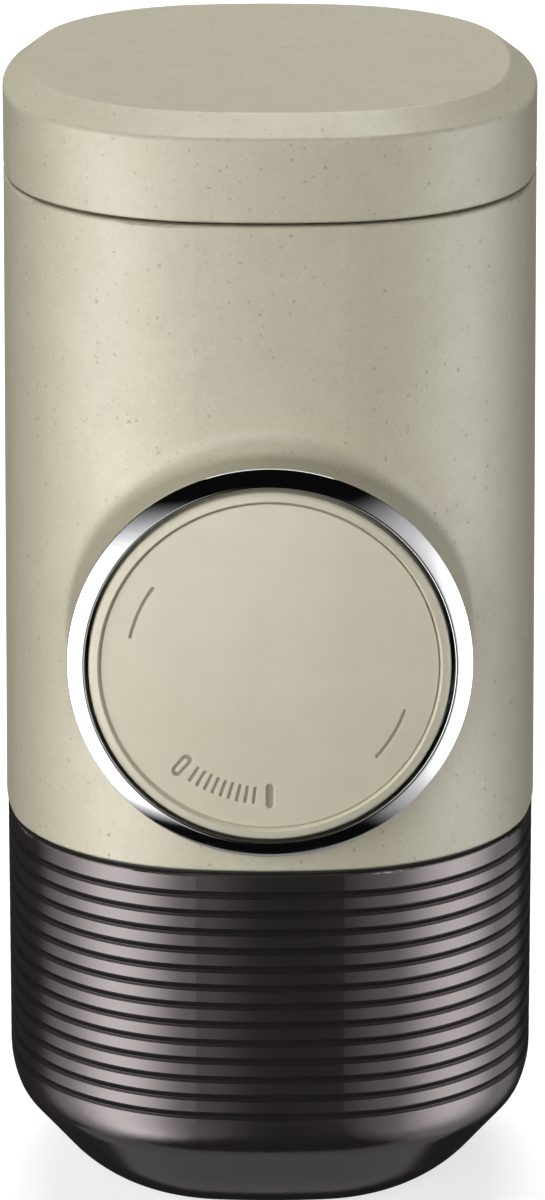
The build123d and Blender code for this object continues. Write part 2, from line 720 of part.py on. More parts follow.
# Piston head: the button, turning on the rod, with two hooks that run between the stop ribs
skirt_bore = button_radius - button_skirt_wall
face_radius = button_radius - button_lip
with BuildPart() as piston_head:
    rod(button_front, button_back, button_radius)
    fillet(piston_head.edges().group_by(Axis.Y)[0], button_edge_fillet)
    rod(web_back, button_back, skirt_bore, mode=Mode.SUBTRACT)
    for hook in hook_places:
        sector(
            front_plane(button_back),
            skirt_bore - hook_depth,
            skirt_bore + button_skirt_wall / 2,
            hook,
            hook_angle,
            hook_length,
        )
    rod(web_back, web_back + hub_length, hub_radius)
    rod(web_back, web_back + hub_length, rod_radius + running_gap, mode=Mode.SUBTRACT)
    rod(button_front, face_back, face_radius + seat_gap, mode=Mode.SUBTRACT)
    lip_edge = piston_head.faces().sort_by(Axis.Y)[0].inner_wires()[0].edges()
    chamfer(lip_edge, face_recess, lip_bevel)
    rod(face_back, web_back, screw_radius + loose_gap, mode=Mode.SUBTRACT)
    screw_pocket_back = head_screw_front + screw_head_height + loose_gap
    rod(face_back, screw_pocket_back, screw_head_radius + loose_gap, mode=Mode.SUBTRACT)
save(piston_head, "piston_head")

# Screw that holds the piston head on the rod
with BuildPart() as head_screw:
    rod(head_screw_front, head_screw_front + screw_head_height, screw_head_radius)
    rod(head_screw_front, head_screw_front + screw_head_height + screw_length, screw_radius)
save(head_screw, "head_screw")

# Button face: plain plate with the lock marks sunk into it
unlocked_angle = locked_angle - lock_turn
tick_span = lock_turn - 2 * tick_margin
with BuildPart() as button_face:
    rod(face_front, face_back, face_radius)
    with BuildSketch(front_plane(face_front)) as marks:
        with PolarLocations(mark_radius, tick_count, unlocked_angle + tick_margin, tick_span, endpoint=True):
            Rectangle(mark_length, mark_width)
        with PolarLocations(mark_radius, 1, locked_angle):
            SlotOverall(mark_length + slot_width, slot_width)
        with PolarLocations(mark_radius, 1, unlocked_angle):
            SlotOverall(mark_length + slot_width, slot_width + mark_width)
            SlotOverall(mark_length, slot_width - mark_width, mode=Mode.SUBTRACT)
    extrude(marks.sketch, amount=-mark_depth, mode=Mode.SUBTRACT)
    for arc_angle in arc_angles:
        inner = arc_radius - mark_width / 2
        plane = front_plane(face_front)
        sector(plane, inner, inner + mark_width, arc_angle, arc_span, -mark_depth, mode=Mode.SUBTRACT)
save(button_face, "button_face")

# Return spring: pushes the piston head out when it is unlocked
spring_room = flange_front - web_back - 2 * (spring_wire + seat_gap)
spring_start = (0, flange_front - spring_wire - seat_gap, pump_height)
return_spring = coil(spring_start, (0, -1, 0), spring_radius, spring_wire, spring_room, spring_turns)
save(return_spring, "return_spring")

# Inlet valve: seat on top, ball, and the spring that holds it shut
with BuildPart() as inlet_seat:
    post(inlet_seat_bottom, inlet_seat_top, cage_radius - seat_gap, post_place)
    post(inlet_seat_bottom, inlet_seat_top, passage_radius, post_place, mode=Mode.SUBTRACT)
save(inlet_seat, "inlet_seat")
with BuildPart() as inlet_ball:
    with Locations((0, valve_y, inlet_ball_level)):
        Sphere(ball_radius)
save(inlet_ball, "inlet_ball")
valve_spring_start = inlet_spring_seat + valve_wire + ball_gap
valve_room = inlet_ball_level - spring_reach - valve_spring_start
start = (0, valve_y, valve_spring_start)
inlet_spring = coil(start, (0, 0, 1), valve_spring_radius, valve_wire, valve_room, valve_turns)
save(inlet_spring, "inlet_spring")

# Inlet filter: pierced cap on the spigot, inside the tank
with BuildPart() as inlet_filter:
    filter_radius = spigot_radius + seat_gap + filter_wall
    filter_bottom = spigot_top + filter_wall - filter_height
    post(filter_bottom, spigot_top + filter_wall, filter_radius, post_place)
    post(filter_bottom, spigot_top, spigot_radius + seat_gap, post_place, mode=Mode.SUBTRACT)
    filter_ring = [(x, y + valve_y) for x, y in around(spigot_radius / 2, filter_hole_count)]
    post(spigot_top, spigot_top + filter_wall, filter_hole, [*post_place, *filter_ring], mode=Mode.SUBTRACT)
save(inlet_filter, "inlet_filter")

# Outlet valve: ball and spring in the tower's lower cage, on a pressed retainer
outlet_spring_seat = group_post_top + gasket_thickness + valve_seat_height
with BuildPart() as outlet_retainer:
    post(group_post_top + gasket_thickness, outlet_spring_seat, cage_radius - seat_gap, post_place)
    post(
        group_post_top + gasket_thickness, outlet_spring_seat, passage_radius, post_place, mode=Mode.SUBTRACT
    )
save(outlet_retainer, "outlet_retainer")
with BuildPart() as outlet_ball:
    with Locations((0, valve_y, outlet_ball_level)):
        Sphere(ball_radius)
save(outlet_ball, "outlet_ball")
valve_spring_start = outlet_spring_seat + valve_wire + ball_gap
valve_room = outlet_ball_level - spring_reach - valve_spring_start
start = (0, valve_y, valve_spring_start)
outlet_spring = coil(start, (0, 0, 1), valve_spring_radius, valve_wire, valve_room, valve_turns)
save(outlet_spring, "outlet_spring")

# Tank liner: water tank that drops into the body, with the lid's threaded neck
scoop_end = flange_back + loose_gap
scoop_radius = boss_radius + loose_gap
neck_bore = neck_radius - neck_wall
with BuildPart() as tank_hollow:
    slab(tank_floor + tank_wall, liner_seat - tank_floor - tank_wall, liner_inset + tank_wall)
    rod(-boss_reach, scoop_end + tank_wall, scoop_radius + tank_wall, mode=Mode.SUBTRACT)
with BuildPart() as tank_liner:
    slab(tank_floor, liner_top - tank_floor, liner_inset)
    slab(liner_seat, tank_wall, ledge_inset + loose_gap)
    post(liner_top, neck_top, neck_radius)
    lugs(neck_radius, lid_lug_level, lid_starts)
    rod(-boss_reach, scoop_end, scoop_radius, mode=Mode.SUBTRACT)
    add(tank_hollow.part, mode=Mode.SUBTRACT)
    post(liner_seat - tank_wall, neck_top, neck_bore, mode=Mode.SUBTRACT)
    post(tank_floor, tank_floor + tank_wall, spigot_radius + seat_gap, post_place, mode=Mode.SUBTRACT)
save(tank_liner, "tank_liner")

# Lid shell: the chamfered cap that shows
with BuildPart() as lid_shell:
    slab(lid_bottom, lid_height - lid_chamfer_height, body_top_inset)
    lid_taper = degrees(atan2(lid_chamfer_width, lid_chamfer_height))
    slab(lid_top - lid_chamfer_height, lid_chamfer_height, body_top_inset, lid_taper)
    fillet(lid_shell.edges().group_by(Axis.Z)[0], body_edge_fillet)
    lid_rims = lid_shell.edges().filter_by(GeomType.LINE, reverse=True)
    lid_shoulder = lid_top - lid_chamfer_height
    fillet(lid_rims.filter_by_position(Axis.Z, lid_shoulder - pick_margin, lid_top), lid_edge_fillet)
    slab(lid_bottom, lid_height - lid_ceiling, body_top_inset + lid_wall, mode=Mode.SUBTRACT)
save(lid_shell, "lid_shell")

# Lid insert: threaded ring and ceiling, fixed inside the lid shell
insert_bottom = lid_bottom + loose_gap
insert_top = insert_ceiling_level + insert_ceiling
with BuildPart() as lid_insert:
    slab(insert_bottom, insert_top - insert_bottom, body_top_inset + lid_wall + seat_gap)
    post(insert_bottom, insert_ceiling_level, neck_radius + loose_gap, mode=Mode.SUBTRACT)
    groove_top = lid_lug_level + groove_overrun
    thread_grooves(
        neck_radius + loose_gap, lid_lug_level, insert_bottom - groove_height, groove_top, lid_starts
    )
    post(insert_ceiling_level, insert_top, vent_stem_radius + seat_gap, mode=Mode.SUBTRACT)
save(lid_insert, "lid_insert")

# Lid gasket, on the neck's rim
with BuildPart() as lid_gasket:
    post(neck_top, insert_ceiling_level, neck_radius)
    post(neck_top, insert_ceiling_level, neck_radius - lid_gasket_width, mode=Mode.SUBTRACT)
save(lid_gasket, "lid_gasket")

# Vent valve: rubber mushroom that lets air into the tank
with BuildPart() as vent_valve:
    post(insert_ceiling_level - vent_head_height, insert_ceiling_level, vent_head_radius)
    post(insert_ceiling_level, insert_top + vent_head_height, vent_stem_radius)
    post(insert_top, insert_top + vent_head_height, vent_stem_radius + vent_head_height)
save(vent_valve, "vent_valve")

# Screws, one node for each group
with BuildPart() as body_screw_group:
    post(deck_bottom - screw_head_height, deck_bottom, screw_head_radius, body_screws)
    post(deck_bottom, deck_bottom + screw_length, screw_radius, body_screws)
save(body_screw_group, "body_screws")
with BuildPart() as group_screw_group:
    group_screw_bottom = deck_bottom - group_flange_thickness
    post(group_screw_bottom - screw_head_height, group_screw_bottom, screw_head_radius, group_screws)
    post(group_screw_bottom, group_screw_bottom + group_screw_length, screw_radius, group_screws)
save(group_screw_group, "group_screws")
with BuildPart() as pump_screw_group:
    rod(flange_back, flange_back + screw_head_height, screw_head_radius, pump_screws)
    rod(flange_back, flange_back - pump_screw_length, screw_radius, pump_screws)
save(pump_screw_group, "pump_screws")
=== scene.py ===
# %% [markdown]
# # A pocket espresso maker, dressed and lit
#
# The machine is a hand pump that stands on its own cup. Its construction comes in as a fixed frame of
# CAD nodes, one for each real piece, already at their real size and place. This lesson gives every piece
# its finish, models the one small form that the CAD leaves out, and sets the machine in a plain studio.
# Lengths are in metres, +Z is up, and the button on the front faces -Y.

import json
from math import cos, pi, radians, sin

import bpy
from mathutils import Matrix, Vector


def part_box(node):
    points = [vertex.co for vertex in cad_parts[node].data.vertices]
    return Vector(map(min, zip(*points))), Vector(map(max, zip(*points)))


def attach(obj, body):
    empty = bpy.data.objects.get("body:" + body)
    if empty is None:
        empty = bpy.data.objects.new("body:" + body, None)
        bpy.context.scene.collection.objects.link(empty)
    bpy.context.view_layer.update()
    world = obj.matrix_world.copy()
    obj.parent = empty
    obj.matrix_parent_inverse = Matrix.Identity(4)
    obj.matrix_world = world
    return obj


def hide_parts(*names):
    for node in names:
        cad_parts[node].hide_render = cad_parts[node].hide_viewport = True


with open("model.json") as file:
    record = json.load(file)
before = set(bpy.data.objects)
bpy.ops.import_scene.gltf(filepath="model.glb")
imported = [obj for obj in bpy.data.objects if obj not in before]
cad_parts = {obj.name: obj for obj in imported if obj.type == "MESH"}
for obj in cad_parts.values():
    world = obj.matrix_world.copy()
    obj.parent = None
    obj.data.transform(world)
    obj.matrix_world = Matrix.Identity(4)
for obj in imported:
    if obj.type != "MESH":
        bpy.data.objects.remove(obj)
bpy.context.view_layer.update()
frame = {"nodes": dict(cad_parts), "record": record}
nodes = frame["nodes"]
MM = 0.001

# %% [markdown]
# ## Helpers for shader nodes
#
# A procedural finish is a small machine of shader nodes, and written out in full each node takes several
# lines. These helpers keep the recipes short: each adds a node, sets or links its inputs, and gives what
# comes out of it. The last ones start a material with its Principled shader, feed that shader, and turn a
# height into a normal.
#
# Object coordinates are metres in the machine's frame here, so a pattern keeps its real size on every
# piece. A texture's scale is then a count for each metre: at 1000, its features are a millimetre apart.

# %% Node helpers
def new_node(tree, kind, inputs=None, **options):
    """Add a node, set its options, and set or link each input that is given."""
    node = tree.nodes.new(kind)
    for option, value in options.items():
        setattr(node, option, value)
    for socket, value in (inputs or {}).items():
        if isinstance(value, bpy.types.NodeSocket):
            tree.links.new(value, node.inputs[socket])
        else:
            node.inputs[socket].default_value = value
    return node


def calculate(tree, operation, first, second):
    """Add a Math node for two numbers and give its result."""
    return new_node(tree, "ShaderNodeMath", {0: first, 1: second}, operation=operation).outputs[0]


def calculate_vector(tree, operation, first, second):
    """Add a Vector Math node for two vectors and give its result."""
    inputs = {0: first, 1: second}
    return new_node(tree, "ShaderNodeVectorMath", inputs, operation=operation).outputs[0]


def length_of(tree, vector):
    """Give the length of a vector."""
    return new_node(tree, "ShaderNodeVectorMath", {0: vector}, operation="LENGTH").outputs["Value"]


def parts_of(tree, vector):
    """Give the outputs X, Y and Z of a vector."""
    return new_node(tree, "ShaderNodeSeparateXYZ", {0: vector}).outputs


def remap(tree, value, from_low, from_high, to_low, to_high, smooth=False):
    """Carry a value from one range over to another, without leaving the second."""
    curve = "SMOOTHSTEP" if smooth else "LINEAR"
    ends = {"Value": value, "From Min": from_low, "From Max": from_high, "To Min": to_low, "To Max": to_high}
    return new_node(tree, "ShaderNodeMapRange", ends, interpolation_type=curve).outputs["Result"]


def stretch(tree, value, low, high, smooth=False):
    """Stretch a value, so that it runs from 0 at low to 1 at high."""
    return remap(tree, value, low, high, 0.0, 1.0, smooth)


def between(tree, share, low, high):
    """Give low where the share is 0, high where it is 1, and what lies between them."""
    return remap(tree, share, 0.0, 1.0, low, high)


def mix_colour(tree, factor, first, second):
    """Mix two colours: the first where the factor is 0, the second where it is 1."""
    inputs = {0: factor, 6: first, 7: second}
    return new_node(tree, "ShaderNodeMix", inputs, data_type="RGBA").outputs[2]


def lay_over(tree, colour, mask, strength, tone):
    """Lay a tone over a colour, as strongly as the mask times the strength says."""
    return mix_colour(tree, calculate(tree, "MULTIPLY", mask, strength), colour, tone)


# %% Material helpers
def new_material(name, fixed):
    """Start a material with a Principled shader, whose fixed inputs are set on its own sockets."""
    material = bpy.data.materials.new(name)
    material.use_nodes = True
    tree = material.node_tree
    tree.nodes.clear()
    shader = new_node(tree, "ShaderNodeBsdfPrincipled", fixed)
    new_node(tree, "ShaderNodeOutputMaterial", {"Surface": shader.outputs["BSDF"]})
    place = new_node(tree, "ShaderNodeTexCoord").outputs["Object"]
    return material, tree, shader, place


def feed(tree, shader, **values):
    """Link values to the shader's sockets: base_color feeds Base Color, and so on."""
    for name, value in values.items():
        tree.links.new(value, shader.inputs[name.replace("_", " ").title()])


def bump(tree, height, depth, corner=None):
    """Give the normal of a relief: depth is in metres, for each unit of height.

    A corner is the radius to which the light finds the corners of the piece broken.
    """
    inputs = {"Height": height, "Distance": depth}
    if corner:
        rounded = new_node(tree, "ShaderNodeBevel", {"Radius": corner}, samples=6)
        inputs["Normal"] = rounded.outputs["Normal"]
    return new_node(tree, "ShaderNodeBump", inputs).outputs["Normal"]


# %% [markdown]
# ## Effects that several finishes share
#
# Each shared effect is a node group with named sockets, built once. A group puts out masks and values
# only, and each material decides what they do to its colour, roughness and relief.

# %% Start a group and place it
def new_group(name, inputs, outputs):
    """Make a shader node group: an input is a number with its default, or a vector if that is None."""
    group = bpy.data.node_groups.new(name, "ShaderNodeTree")
    for socket, default in inputs.items():
        kind = "NodeSocketVector" if default is None else "NodeSocketFloat"
        made = group.interface.new_socket(socket, in_out="INPUT", socket_type=kind)
        if default is not None:
            made.default_value = default
    for socket in outputs:
        group.interface.new_socket(socket, in_out="OUTPUT", socket_type="NodeSocketFloat")
    entry = group.nodes.new("NodeGroupInput").outputs
    leave = group.nodes.new("NodeGroupOutput").inputs
    return group, entry, leave


def use_group(tree, group, inputs):
    """Place a group in a material and give its outputs."""
    return new_node(tree, "ShaderNodeGroup", inputs, node_tree=group).outputs


# %% [markdown]
# ### Specks
#
# The shell is moulded from a plastic with fine coffee-brown grains in it. They could be modelled, or
# scattered over the surface, but there are thousands. A Voronoi texture drops one point into each cell of
# a grid instead, and its colour output holds random numbers for that cell. One of them decides whether the
# cell has a speck at all, another how large the speck is. The cells fill space, and a wall only cuts the
# few specks whose middle lies close to it, so the cells are small and many of them hold one. Bending the
# coordinates with a little noise first makes the specks ragged, as grains are.

# %% Specks group
WOBBLE_SCALE = 4200.0
NOISE_MIDDLE = (0.5, 0.5, 0.5)
SMALLEST_SPECK = 0.45  # as a share of the largest one's radius
SOLID_MIDDLE = 0.55  # as a share of a speck's radius; outside it the speck fades away


def make_specks():
    """Scattered ragged dots: Mask is 1 inside a speck. Size is a radius and Ragged a bend, both in cells."""
    inputs = {"Place": None, "Cells": 600.0, "Share": 0.3, "Size": 0.12, "Ragged": 0.25}
    group, entry, leave = new_group("specks", inputs, ["Mask"])
    wobble = new_node(group, "ShaderNodeTexNoise",
                      {"Vector": entry["Place"], "Scale": WOBBLE_SCALE, "Detail": 1.0})
    centred = calculate_vector(group, "SUBTRACT", wobble.outputs["Color"], NOISE_MIDDLE)
    reach = calculate(group, "DIVIDE", entry["Ragged"], entry["Cells"])
    bend = new_node(group, "ShaderNodeVectorMath", {0: centred, "Scale": reach}, operation="SCALE")
    bent = calculate_vector(group, "ADD", entry["Place"], bend.outputs[0])
    cell = new_node(group, "ShaderNodeTexVoronoi", {"Vector": bent, "Scale": entry["Cells"]}).outputs
    chance = new_node(group, "ShaderNodeSeparateColor", {"Color": cell["Color"]}).outputs
    holds = calculate(group, "LESS_THAN", chance[0], entry["Share"])
    radius = calculate(group, "MULTIPLY", entry["Size"], between(group, chance[1], SMALLEST_SPECK, 1.0))
    solid = calculate(group, "MULTIPLY", radius, SOLID_MIDDLE)
    inside = remap(group, cell["Distance"], solid, radius, 1.0, 0.0, smooth=True)
    group.links.new(calculate(group, "MULTIPLY", holds, inside), leave["Mask"])
    return group


specks = make_specks()
print("group:", specks.name)

# %% [markdown]
# ### Moulded skin
#
# A mould is spark-eroded, so the plastic that leaves it has a fine orange-peel grain. It is far too fine
# to model, so the skin group gives it as a height for the relief. It is a noise texture, which seldom
# comes near 0 or 1, so the middle of its range is stretched.

# %% Skin group
def make_skin():
    """Spark-eroded grain: Height runs from 0 to 1."""
    group, entry, leave = new_group("moulded_skin", {"Place": None, "Grain": 2600.0}, ["Height"])
    fine = new_node(group, "ShaderNodeTexNoise",
                    {"Vector": entry["Place"], "Scale": entry["Grain"], "Detail": 3.0, "Roughness": 0.6})
    group.links.new(stretch(group, fine.outputs["Fac"], 0.3, 0.7), leave["Height"])
    return group


skin = make_skin()
print("group:", skin.name)

# %% [markdown]
# ### Mottling
#
# A filled plastic is never one even tone: its colour drifts slowly over the surface. Painting the drift by
# hand would show seams, and noise with a little distortion drifts by itself. Each material mixes two tones
# that lie close together by it. At a high scale the clouds are so small that they pass for dust.

# %% Mottling group
def make_mottling():
    """Slow clouds: Cloud runs from 0 to 1."""
    group, entry, leave = new_group("mottling", {"Place": None, "Scale": 90.0}, ["Cloud"])
    cloud = new_node(group, "ShaderNodeTexNoise",
                     {"Vector": entry["Place"], "Scale": entry["Scale"], "Detail": 5.0, "Roughness": 0.55,
                      "Distortion": 0.4})
    group.links.new(stretch(group, cloud.outputs["Fac"], 0.32, 0.68), leave["Cloud"])
    return group


mottling = make_mottling()
print("group:", mottling.name)

# %% [markdown]
# ### Handling
#
# Fingers and cloths leave faint smears on gloss, which show only as small changes of roughness. Large
# soft patches say where a smear is, and fine level wipes within them say how it was made.

# %% Handling group
LEVEL_WIPES = (1.0, 1.0, 7.0)  # noise that is pressed together upright reads as level lines
WIPE_SCALE = 420.0


def make_handling():
    """Finger smears with fine wipes in them: Smear runs from 0 to 1."""
    group, entry, leave = new_group("handling", {"Place": None, "Scale": 55.0}, ["Smear"])
    patch = new_node(group, "ShaderNodeTexNoise",
                     {"Vector": entry["Place"], "Scale": entry["Scale"], "Detail": 2.0, "Distortion": 1.2})
    wide = stretch(group, patch.outputs["Fac"], 0.45, 0.7, smooth=True)
    pressed = calculate_vector(group, "MULTIPLY", entry["Place"], LEVEL_WIPES)
    ridge = new_node(group, "ShaderNodeTexNoise", {"Vector": pressed, "Scale": WIPE_SCALE, "Detail": 2.0})
    ridges = remap(group, ridge.outputs["Fac"], 0.4, 0.65, 0.35, 1.0)
    group.links.new(calculate(group, "MULTIPLY", wide, ridges), leave["Smear"])
    return group


handling = make_handling()
print("group:", handling.name)

# %% [markdown]
# ### Turned metal
#
# A lathe leaves circles round its axis. The tooling group makes them from two lengths: the distance to the
# axis, which is the length of the coordinates once they are flattened along it, and the distance along the
# axis. So one group serves rods, plates and screws, whichever way they lie. With nothing flattened the
# circles become shells round the centre, which on thin wire pass for the marks of the drawing die.

# %% Tooling group
def make_tooling():
    """Tool marks round an axis through the origin of Place: Line runs from 0 to 1.

    Across is 0 for the coordinate along the axis and 1 for those across it.
    """
    inputs = {"Place": None, "Across": None, "Pitch": 9000.0}
    group, entry, leave = new_group("tooling", inputs, ["Line"])
    flat = calculate_vector(group, "MULTIPLY", entry["Place"], entry["Across"])
    along = calculate_vector(group, "SUBTRACT", entry["Place"], flat)
    profile = {"X": length_of(group, flat), "Y": length_of(group, along)}
    where = new_node(group, "ShaderNodeCombineXYZ", profile).outputs[0]
    marks = new_node(group, "ShaderNodeTexNoise",
                     {"Vector": where, "Scale": entry["Pitch"], "Detail": 2.0, "Roughness": 0.7})
    group.links.new(stretch(group, marks.outputs["Fac"], 0.3, 0.7), leave["Line"])
    return group


tooling = make_tooling()
print("group:", tooling.name)

# %% [markdown]
# ## Finishes
#
# ### Speckled shell
#
# Body and lid are moulded in one warm grey-beige plastic with a silky skin. A picture of it could be
# wrapped round them, but a pattern that fills space has no seam and no stretch. Over the cloudy beige lie
# a flour of brown dust, pale husks, small faint grains and large ones. The large grains also break the
# skin, so their mask lowers the surface a little and makes it rougher.

# %% Speckled shell
SHELL_BEIGE = (0.512, 0.481, 0.363, 1.0)
SHELL_SHADE = (0.470, 0.436, 0.324, 1.0)
GRAIN_BROWN = (0.170, 0.120, 0.070, 1.0)
HUSK_PALE = (0.740, 0.700, 0.580, 1.0)
finishes = {}


def speckled_shell():
    """Filled beige plastic with coffee-brown grains."""
    material, tree, shader, place = new_material("speckled_shell", {"IOR": 1.88})
    cloud = use_group(tree, mottling, {"Place": place, "Scale": 120.0})["Cloud"]
    flour = use_group(tree, mottling, {"Place": place, "Scale": 1100.0})["Cloud"]
    large = use_group(tree, specks, {"Place": place, "Cells": 950.0, "Share": 0.38, "Size": 0.25,
                                     "Ragged": 0.55})["Mask"]
    small = use_group(tree, specks, {"Place": place, "Cells": 1500.0, "Share": 0.65, "Size": 0.34,
                                     "Ragged": 0.55})["Mask"]
    husk = use_group(tree, specks, {"Place": place, "Cells": 1100.0, "Share": 0.12, "Size": 0.24})["Mask"]
    grain = use_group(tree, skin, {"Place": place, "Grain": 2400.0})["Height"]
    colour = mix_colour(tree, cloud, SHELL_BEIGE, SHELL_SHADE)
    colour = lay_over(tree, colour, flour, 0.09, GRAIN_BROWN)
    colour = lay_over(tree, colour, husk, 0.22, HUSK_PALE)
    colour = lay_over(tree, colour, small, 0.20, GRAIN_BROWN)
    colour = lay_over(tree, colour, large, 0.45, GRAIN_BROWN)
    broken = calculate(tree, "MULTIPLY", large, 0.2)
    rough = calculate(tree, "ADD", between(tree, cloud, 0.40, 0.46), broken)
    pits = calculate(tree, "MULTIPLY", large, 0.8)
    height = calculate(tree, "SUBTRACT", grain, pits)
    feed(tree, shader, base_color=colour, roughness=rough, normal=bump(tree, height, 0.012 * MM))
    return material


finishes["speckled_shell"] = speckled_shell()
print("finish:", finishes["speckled_shell"].name)

# %% [markdown]
# ### The pump's axis
#
# The button slides and turns on the pump's axis, which lies level, from front to back. The finishes of the
# button and of the ring round it are centred there. Its height and the size of the button's face could be
# typed in, but read from the boxes of the CAD nodes they stay right when the construction changes.

# %% Measure the pump's axis and the button
face_low, face_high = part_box("button_face")
FACE_FRONT = face_low[1]
FACE_RADIUS = (face_high[0] - face_low[0]) / 2
PUMP_HEIGHT = sum(corner[2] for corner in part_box("bezel_ring")) / 2
ACROSS_PUMP = (1, 0, 1)


def centre_on_pump(tree, place):
    """Move the origin of the coordinates to the pump's axis."""
    inputs = {"Vector": place, "Location": (0, 0, -PUMP_HEIGHT)}
    return new_node(tree, "ShaderNodeMapping", inputs).outputs[0]


print("pump axis at", round(PUMP_HEIGHT / MM, 2), "mm, face radius", round(FACE_RADIUS / MM, 2), "mm")

# %% [markdown]
# ### Button plastic
#
# The button is the same colour without the grains, a touch smoother and paler, so that the marks on it
# stay easy to read. The marks are sunk into the face, and the shade inside them is painted: their floors
# get a darker tone. A mask could be drawn for them. None is needed: whatever lies deeper than the face,
# along the pump's axis, is the floor of a mark. Only the rim of the plate lies as deep, so the painted
# shade ends short of it.
#
# A large flat moulding sinks as it cools, so such a face is given a slight crown, and the lip round it is
# rounded outwards. Here both are in the relief alone: its height falls with the square of the distance
# from the axis, and the tilt says how far the surface has turned at the edge of the face. A mould has no
# perfectly sharp corner either, so the relief of the face starts from a normal that is rounded near the
# marks.

# %% Button plastic
BUTTON_BEIGE = (0.632, 0.594, 0.464, 1.0)
BUTTON_SHADE = (0.594, 0.555, 0.430, 1.0)
# Painted shade: the floors of the sunk marks are coloured darker than the face.
MARK_PAINTED_SHADE = (0.335, 0.306, 0.230, 1.0)
BUTTON_GRAIN_DEPTH = 0.006 * MM
FACE_TILT, LIP_TILT = 10.0, 20.0  # degrees
SHADE_STARTS, SHADE_IS_FULL = 0.05 * MM, 0.15 * MM  # depths below the face
RIM_MARGIN, RIM_FADE = 0.8 * MM, 0.2 * MM
MARK_CORNER = 0.25 * MM


def mark_shade_mask(tree, place, reach):
    """Mask the painted shade on the floors of the marks: deeper than the face, and clear of the plate's rim.
    """
    depth = parts_of(tree, place)["Y"]
    sunk = stretch(tree, depth, FACE_FRONT + SHADE_STARTS, FACE_FRONT + SHADE_IS_FULL)
    shade_end = FACE_RADIUS - RIM_MARGIN
    inside = remap(tree, reach, shade_end - RIM_FADE, shade_end, 1.0, 0.0)
    return calculate(tree, "MULTIPLY", sunk, inside)


def button_plastic(name, tilt, with_mark_shade):
    """Plain beige plastic with a silky skin and a crown, and with painted shade in its marks if asked."""
    material, tree, shader, place = new_material(name, {"IOR": 1.7})
    cloud = use_group(tree, mottling, {"Place": place, "Scale": 160.0})["Cloud"]
    faint = use_group(tree, specks, {"Place": place, "Cells": 1000.0, "Share": 0.12, "Size": 0.1})["Mask"]
    grain = use_group(tree, skin, {"Place": place, "Grain": 3400.0})["Height"]
    colour = mix_colour(tree, cloud, BUTTON_BEIGE, BUTTON_SHADE)
    colour = lay_over(tree, colour, faint, 0.08, GRAIN_BROWN)
    reach = length_of(tree, calculate_vector(tree, "MULTIPLY", centre_on_pump(tree, place), ACROSS_PUMP))
    fall = sin(radians(tilt)) / (2 * FACE_RADIUS * BUTTON_GRAIN_DEPTH)
    crown = calculate(tree, "MULTIPLY", calculate(tree, "MULTIPLY", reach, reach), fall)
    height = calculate(tree, "SUBTRACT", grain, crown)
    if with_mark_shade:
        # Painted shade: the floors of the marks get a darker tone.
        colour = mix_colour(tree, mark_shade_mask(tree, place, reach), colour, MARK_PAINTED_SHADE)
    relief = bump(tree, height, BUTTON_GRAIN_DEPTH, MARK_CORNER if with_mark_shade else None)
    feed(tree, shader, base_color=colour, roughness=between(tree, cloud, 0.33, 0.39), normal=relief)
    return material


finishes["button_plastic"] = button_plastic("button_plastic", LIP_TILT, with_mark_shade=False)
finishes["marked_face"] = button_plastic("marked_face", FACE_TILT, with_mark_shade=True)
print("finishes:", finishes["button_plastic"].name, "and", finishes["marked_face"].name)

# %% [markdown]
# ### Smoky cup
#
# The cup is a dark brown-grey gloss plastic. It could be made part clear, but so little light gets back
# out of it that an opaque dark tone looks the same. Nearly all that the eye sees of it is reflection, so
# its roughness is what matters: low, with faint smears. A metallic pigment warms its reflections, which
# the specular tint stands for.

# %% Smoky cup
SMOKE = (0.0200, 0.0172, 0.0175, 1.0)
SMOKE_WARM = (0.0240, 0.0200, 0.0202, 1.0)
SMOKE_GLOSS = (1.0, 0.885, 0.880, 1.0)


def smoky_cup():
    """Dark gloss plastic with light handling marks."""
    material, tree, shader, place = new_material("smoky_cup", {"IOR": 2.08, "Specular Tint": SMOKE_GLOSS})
    cloud = use_group(tree, mottling, {"Place": place, "Scale": 60.0})["Cloud"]
    smear = use_group(tree, handling, {"Place": place, "Scale": 70.0})["Smear"]
    grain = use_group(tree, skin, {"Place": place, "Grain": 1500.0})["Height"]
    colour = mix_colour(tree, cloud, SMOKE, SMOKE_WARM)
    rough = between(tree, smear, 0.17, 0.24)
    feed(tree, shader, base_color=colour, roughness=rough, normal=bump(tree, grain, 0.002 * MM))
    return material


finishes["smoky_cup"] = smoky_cup()
print("finish:", finishes["smoky_cup"].name)

# %% [markdown]
# ### Chrome bezel
#
# The bezel is plated and polished. A plain mirror would do at arm's length, but close up it looks like
# computer glass. A trace of polishing lines round the button and a few smears keep it real.

# %% Bezel chrome
CHROME = (0.860, 0.860, 0.880, 1.0)
CHROME_DULL = (0.800, 0.800, 0.825, 1.0)


def bezel_chrome():
    """Polished plating with faint polishing lines round the button's axis."""
    material, tree, shader, place = new_material("bezel_chrome", {"Metallic": 1.0})
    polish = {"Place": centre_on_pump(tree, place), "Across": ACROSS_PUMP, "Pitch": 7000.0}
    line = use_group(tree, tooling, polish)["Line"]
    smear = use_group(tree, handling, {"Place": place, "Scale": 90.0})["Smear"]
    colour = mix_colour(tree, smear, CHROME, CHROME_DULL)
    scuffed = calculate(tree, "MULTIPLY", line, 0.02)
    rough = calculate(tree, "ADD", between(tree, smear, 0.035, 0.09), scuffed)
    feed(tree, shader, base_color=colour, roughness=rough, normal=bump(tree, line, 0.0004 * MM))
    return material


finishes["bezel_chrome"] = bezel_chrome()
print("finish:", finishes["bezel_chrome"].name)

# %% [markdown]
# ### Plastics inside
#
# The outlet head, cage, collar and lid insert are a black glass-filled plastic with a matt, slightly
# flecked skin. The pump block is its greyer, finer cousin. Two recipes would nearly repeat each other, so
# one recipe with other tones and another grain makes both.

